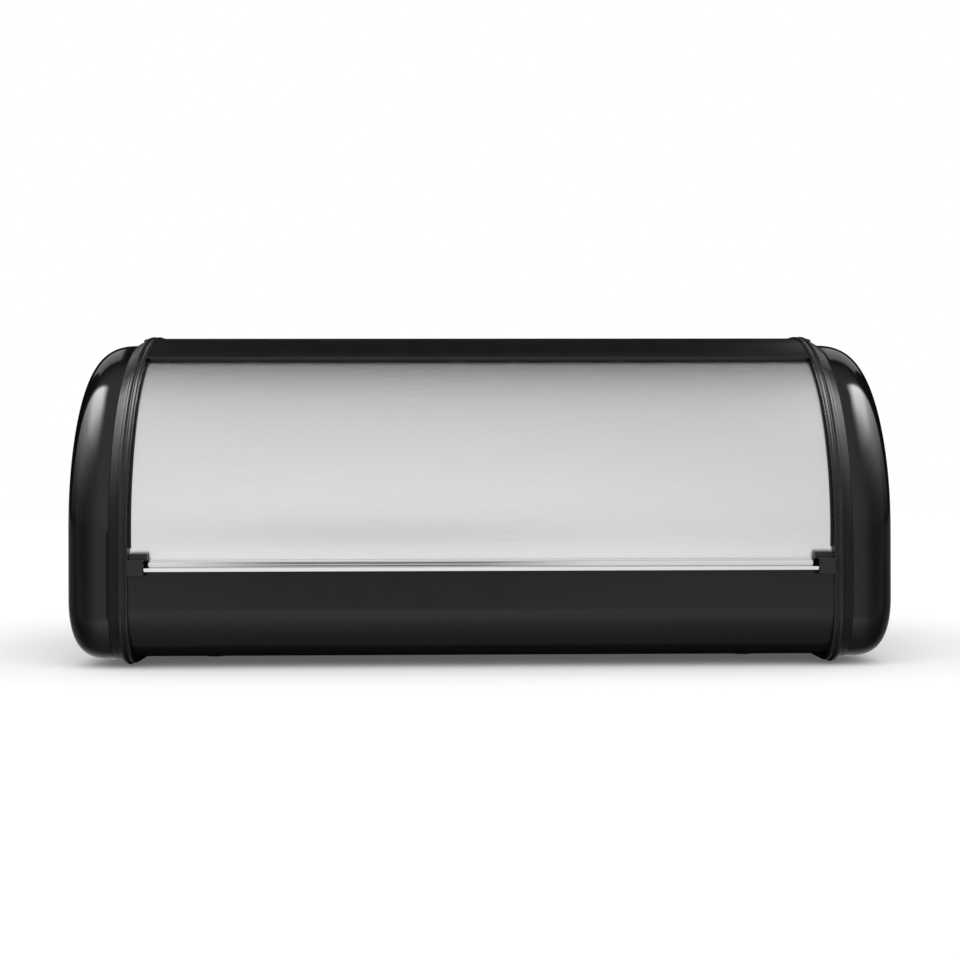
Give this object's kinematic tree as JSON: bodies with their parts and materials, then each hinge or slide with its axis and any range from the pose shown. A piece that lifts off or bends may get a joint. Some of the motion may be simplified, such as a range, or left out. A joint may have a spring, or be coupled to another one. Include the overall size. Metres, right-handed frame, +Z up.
{
  "type": "bread bin",
  "caption": "Roll-top bread bin: a polished steel lid turns up under a black sheet-steel wrap between black end frames with domed caps.",
  "frame": {"origin": "bottom centre of the bounding box, on the worktop under the middle of the bin", "axes": "+X along the bin to the right as seen from the front, +Y from the front to the back, +Z up"},
  "size_m": [0.445, 0.25, 0.184],
  "materials": {
    "cap_black": "high-gloss moulded black plastic",
    "frame_black": "satin moulded black plastic",
    "wrap_paint": "semi-gloss black powder coat on sheet steel",
    "lid_steel": "fine satin-polished stainless steel, grain along the bin",
    "rail_steel": "bright polished stainless steel",
    "clip_black": "satin black plastic",
    "glide_black": "smooth black low-friction plastic",
    "screw_zinc": "zinc-plated steel",
    "foot_rubber": "matt black rubber"
  },
  "bodies": {
    "body": {"body_wrap": "wrap_paint", "end_frame_left": "frame_black", "end_cap_left": "cap_black", "foot_left_front": "foot_rubber", "foot_left_rear": "foot_rubber", "base_screw_left_1": "screw_zinc", "base_screw_left_2": "screw_zinc", "back_screw_left_1": "screw_zinc", "back_screw_left_2": "screw_zinc", "cap_screw_left_1": "screw_zinc", "cap_screw_left_2": "screw_zinc", "cap_screw_left_3": "screw_zinc", "cap_screw_left_4": "screw_zinc", "end_frame_right": "frame_black", "end_cap_right": "cap_black", "foot_right_front": "foot_rubber", "foot_right_rear": "foot_rubber", "base_screw_right_1": "screw_zinc", "base_screw_right_2": "screw_zinc", "back_screw_right_1": "screw_zinc", "back_screw_right_2": "screw_zinc", "cap_screw_right_1": "screw_zinc", "cap_screw_right_2": "screw_zinc", "cap_screw_right_3": "screw_zinc", "cap_screw_right_4": "screw_zinc"},
    "lid": {"lid_sheet": "lid_steel", "handle_rail": "rail_steel", "lid_rear_trim": "glide_black", "lid_glide_left": "glide_black", "lid_glide_right": "glide_black", "handle_clip_left": "clip_black", "handle_clip_right": "clip_black"}
  },
  "joints": [
    {"name": "lid_roll", "type": "hinge", "parent": "body", "child": "lid", "pos_m": [0, -0.0078, 0.072], "axis": [-1, 0, 0], "range_deg": [0, 60]}
  ]
}
